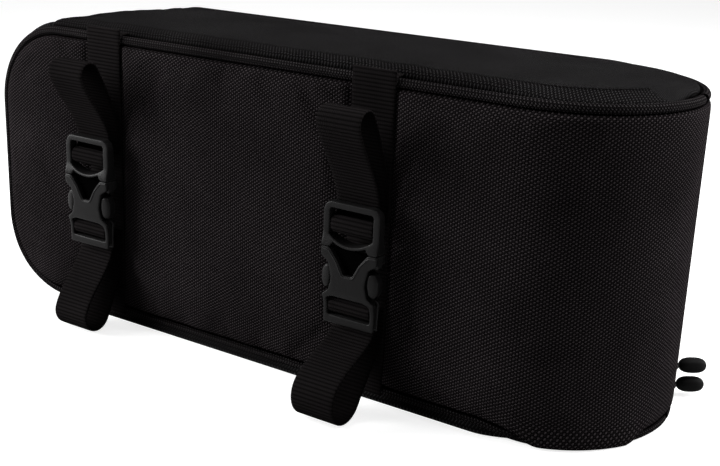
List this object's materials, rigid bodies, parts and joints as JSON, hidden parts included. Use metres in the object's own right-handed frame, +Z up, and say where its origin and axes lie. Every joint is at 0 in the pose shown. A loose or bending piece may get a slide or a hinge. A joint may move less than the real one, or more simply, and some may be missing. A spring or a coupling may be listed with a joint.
{
  "type": "guitar pedal case",
  "caption": "Padded fabric pedal case, squared at one end and round at the other, with buckled webbing straps on its front and a zipped lid hinged at its back.",
  "frame": {"origin": "middle of the bottom face, halfway between the squared end and the tip of the round end", "axes": "+X to the right along the length, towards the round end; -Y out of the strapped front; +Z up"},
  "size_m": [0.418, 0.1732, 0.1716],
  "materials": {
    "body_fabric": "coarse black ballistic weave, dull",
    "edge_fabric": "finer black weave, dull",
    "foam": "closed-cell foam board",
    "lining": "smooth grey lining",
    "piping": "woven roll with slanting ribs",
    "webbing": "ribbed black webbing",
    "zipper_tape": "woven black tape",
    "zipper_coil": "black nylon coil",
    "slider_metal": "black enamel",
    "pull_rubber": "moulded satin rubber",
    "buckle_plastic": "satin moulded plastic"
  },
  "bodies": {
    "case": {"wrap_panel": "body_fabric", "top_panel": "edge_fabric", "left_panel": "body_fabric", "bottom_panel": "edge_fabric", "wrap_foam": "foam", "top_foam": "foam", "left_foam": "foam", "bottom_foam": "foam", "case_lining": "lining", "front_piping": "piping", "back_piping": "piping", "hinge_strip": "edge_fabric", "zip_tape_case": "zipper_tape", "zip_coil_case": "zipper_coil", "zip_end_stop": "zipper_coil", "slider_lower": "slider_metal", "belt_left": "webbing", "belt_right": "webbing", "strap_upper_left": "webbing", "strap_lower_left": "webbing", "strap_upper_right": "webbing", "strap_lower_right": "webbing", "socket_left": "buckle_plastic", "socket_right": "buckle_plastic"},
    "lid": {"lid_cover": "body_fabric", "lid_foam": "foam", "lid_lining": "lining", "lid_flap": "edge_fabric", "zip_tape_lid": "zipper_tape", "zip_coil_lid": "zipper_coil"},
    "slider_upper": {"slider_upper": "slider_metal"},
    "pull_upper": {"pull_upper": "pull_rubber"},
    "pull_lower": {"pull_lower": "pull_rubber"},
    "plug_left": {"plug_left": "buckle_plastic"},
    "prong_left_a": {"prong_left_a": "buckle_plastic"},
    "prong_left_b": {"prong_left_b": "buckle_plastic"},
    "plug_right": {"plug_right": "buckle_plastic"},
    "prong_right_a": {"prong_right_a": "buckle_plastic"},
    "prong_right_b": {"prong_right_b": "buckle_plastic"}
  },
  "joints": [
    {"name": "lid_hinge", "type": "hinge", "parent": "case", "child": "lid", "pos_m": [0, 0.0624, 0.0095], "axis": [-1, 0, 0], "range_deg": [0, 92]},
    {"name": "zip_slide", "type": "slide", "parent": "case", "child": "slider_upper", "axis": [0, 0, 1], "range_m": [0, 0.11]},
    {"name": "pull_upper_swing", "type": "hinge", "parent": "slider_upper", "child": "pull_upper", "pos_m": [0.19609, 0.04003, 0.0173], "axis": [0.5878, -0.809, 0], "range_deg": [0, 60]},
    {"name": "pull_lower_swing", "type": "hinge", "parent": "case", "child": "pull_lower", "pos_m": [0.19609, 0.04003, 0.0063], "axis": [0.5878, -0.809, 0], "range_deg": [0, 7]},
    {"name": "buckle_left_release", "type": "slide", "parent": "case", "child": "plug_left", "axis": [0, 0, 1], "range_m": [0, 0.022], "deforming": ["strap_upper_left", "prong_left_a", "prong_left_b"]},
    {"name": "prong_left_a_press", "type": "hinge", "parent": "plug_left", "child": "prong_left_a", "pos_m": [-0.1253, -0.079, 0.0896], "axis": [0, -1, 0], "range_deg": [0, 16], "stiffness_Nm_per_rad": 0.05},
    {"name": "prong_left_b_press", "type": "hinge", "parent": "plug_left", "child": "prong_left_b", "pos_m": [-0.1087, -0.079, 0.0896], "axis": [0, 1, 0], "range_deg": [0, 16], "stiffness_Nm_per_rad": 0.05},
    {"name": "buckle_right_release", "type": "slide", "parent": "case", "child": "plug_right", "axis": [0, 0, 1], "range_m": [0, 0.022], "deforming": ["strap_upper_right", "prong_right_a", "prong_right_b"]},
    {"name": "prong_right_a_press", "type": "hinge", "parent": "plug_right", "child": "prong_right_a", "pos_m": [0.0567, -0.079, 0.0846], "axis": [0, -1, 0], "range_deg": [0, 16], "stiffness_Nm_per_rad": 0.05},
    {"name": "prong_right_b_press", "type": "hinge", "parent": "plug_right", "child": "prong_right_b", "pos_m": [0.0733, -0.079, 0.0846], "axis": [0, 1, 0], "range_deg": [0, 16], "stiffness_Nm_per_rad": 0.05}
  ]
}
